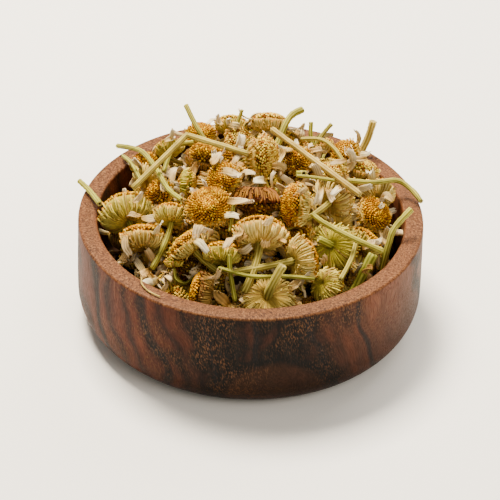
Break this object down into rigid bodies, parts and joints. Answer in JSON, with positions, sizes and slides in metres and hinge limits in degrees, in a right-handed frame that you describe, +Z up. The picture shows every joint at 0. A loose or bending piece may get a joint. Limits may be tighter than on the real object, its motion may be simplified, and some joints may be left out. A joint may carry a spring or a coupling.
{
  "type": "bowl of dried chamomile flowers",
  "caption": "Shallow round turned wooden bowl heaped with dried chamomile flower heads, crumpled petals and short cut stems.",
  "frame": {"origin": "centre of the bowl's flat foot, on the surface that it stands on", "axes": "+Z up along the bowl's axis; the heap is seen from -Y, with +X to the right"},
  "size_m": [0.0773, 0.0768, 0.0422],
  "materials": {
    "turned_wood": "satin oiled dark hardwood",
    "dried_flowers": "dry matte plant matter",
    "orange_florets": "dry granular florets",
    "dried_stems": "dry ribbed stems"
  },
  "bodies": {
    "root": {"bowl": "turned_wood", "flower_bed": "dried_flowers", "head_01": "dried_flowers", "head_02": "dried_flowers", "head_03": "dried_flowers", "head_04": "dried_flowers", "head_05": "dried_flowers", "head_06": "dried_flowers", "head_07": "dried_flowers", "head_08": "dried_flowers", "head_09": "dried_flowers", "head_10": "dried_flowers", "head_11": "dried_flowers", "head_12": "dried_flowers", "head_13": "dried_flowers", "head_14": "dried_flowers", "head_15": "dried_flowers", "head_16": "dried_flowers", "head_17": "dried_flowers", "head_18": "dried_flowers", "head_19": "dried_flowers", "head_20": "dried_flowers", "head_21": "dried_flowers", "head_22": "dried_flowers", "head_23": "dried_flowers", "head_24": "dried_flowers", "head_25": "dried_flowers", "head_26": "dried_flowers", "head_27": "dried_flowers", "head_28": "dried_flowers", "head_29": "dried_flowers", "head_30": "dried_flowers", "head_31": "dried_flowers", "head_32": "dried_flowers", "head_33": "dried_flowers", "head_34": "dried_flowers", "head_35": "dried_flowers", "head_36": "dried_flowers", "head_37": "dried_flowers", "head_38": "dried_flowers", "disc_02": "orange_florets", "disc_09": "orange_florets", "disc_12": "orange_florets", "disc_20": "orange_florets", "disc_29": "orange_florets", "disc_32": "orange_florets", "disc_34": "orange_florets", "disc_36": "orange_florets", "disc_37": "orange_florets", "stem_01": "dried_stems", "stem_02": "dried_stems", "stem_03": "dried_stems", "stem_04": "dried_stems", "stem_05": "dried_stems", "stem_06": "dried_stems", "stem_07": "dried_stems", "stem_08": "dried_stems", "stem_09": "dried_stems", "stem_10": "dried_stems", "stem_11": "dried_stems"}
  },
  "joints": []
}
